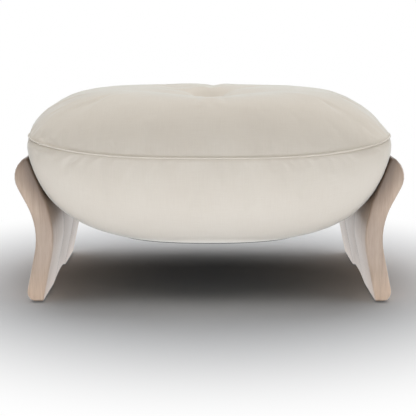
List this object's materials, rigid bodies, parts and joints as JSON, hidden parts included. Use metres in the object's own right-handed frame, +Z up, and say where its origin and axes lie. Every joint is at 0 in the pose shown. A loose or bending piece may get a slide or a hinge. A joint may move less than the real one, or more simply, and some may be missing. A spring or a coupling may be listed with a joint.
{
  "type": "ottoman",
  "caption": "Low upholstered ottoman: a plump, piped cushion with a centre tuft, cradled between curved wooden sides that stand on arched feet.",
  "frame": {"origin": "on the floor, under the middle of the ottoman", "axes": "+X along the width from the left side to the right, +Y from front to rear, +Z up"},
  "size_m": [0.7938, 0.5984, 0.4311],
  "materials": {
    "side_wood": "satin lacquer over a limed, taupe stained ash",
    "frame_timber": "raw planed timber",
    "dowel_wood": "raw turned wood",
    "glide_nylon": "moulded nylon",
    "linen_cover": "off-white linen weave",
    "base_lining": "grey non-woven lining",
    "foam": "open-cell upholstery foam",
    "waxed_cord": "waxed upholstery cord",
    "anchor_plastic": "moulded disc",
    "webbing": "elastic upholstery webbing",
    "insert_brass": "turned brass",
    "zinc_steel": "zinc plated",
    "spacer_steel": "plain steel tube"
  },
  "bodies": {
    "root": {"side_board_left_front": "side_wood", "side_board_left_middle": "side_wood", "side_board_left_rear": "side_wood", "side_board_right_front": "side_wood", "side_board_right_middle": "side_wood", "side_board_right_rear": "side_wood", "board_dowels": "dowel_wood", "glide_left_front": "glide_nylon", "glide_left_rear": "glide_nylon", "glide_right_front": "glide_nylon", "glide_right_rear": "glide_nylon", "glide_screws": "zinc_steel", "cover_top": "linen_cover", "cover_lower": "linen_cover", "base_cloth": "base_lining", "seam_piping": "linen_cover", "foam_core": "foam", "foam_belly": "foam", "tuft_button": "linen_cover", "tuft_cord": "waxed_cord", "tuft_anchor": "anchor_plastic", "frame_rail_front": "frame_timber", "frame_rail_rear": "frame_timber", "frame_rail_left": "frame_timber", "frame_rail_right": "frame_timber", "cross_rail_left": "frame_timber", "cross_rail_right": "frame_timber", "corner_block_left_front": "frame_timber", "corner_block_left_rear": "frame_timber", "corner_block_right_front": "frame_timber", "corner_block_right_rear": "frame_timber", "frame_screws": "zinc_steel", "straps_across": "webbing", "straps_along": "webbing", "side_bolts": "zinc_steel", "bolt_washers": "zinc_steel", "bolt_spacers": "spacer_steel", "bolt_inserts": "insert_brass"}
  },
  "joints": []
}
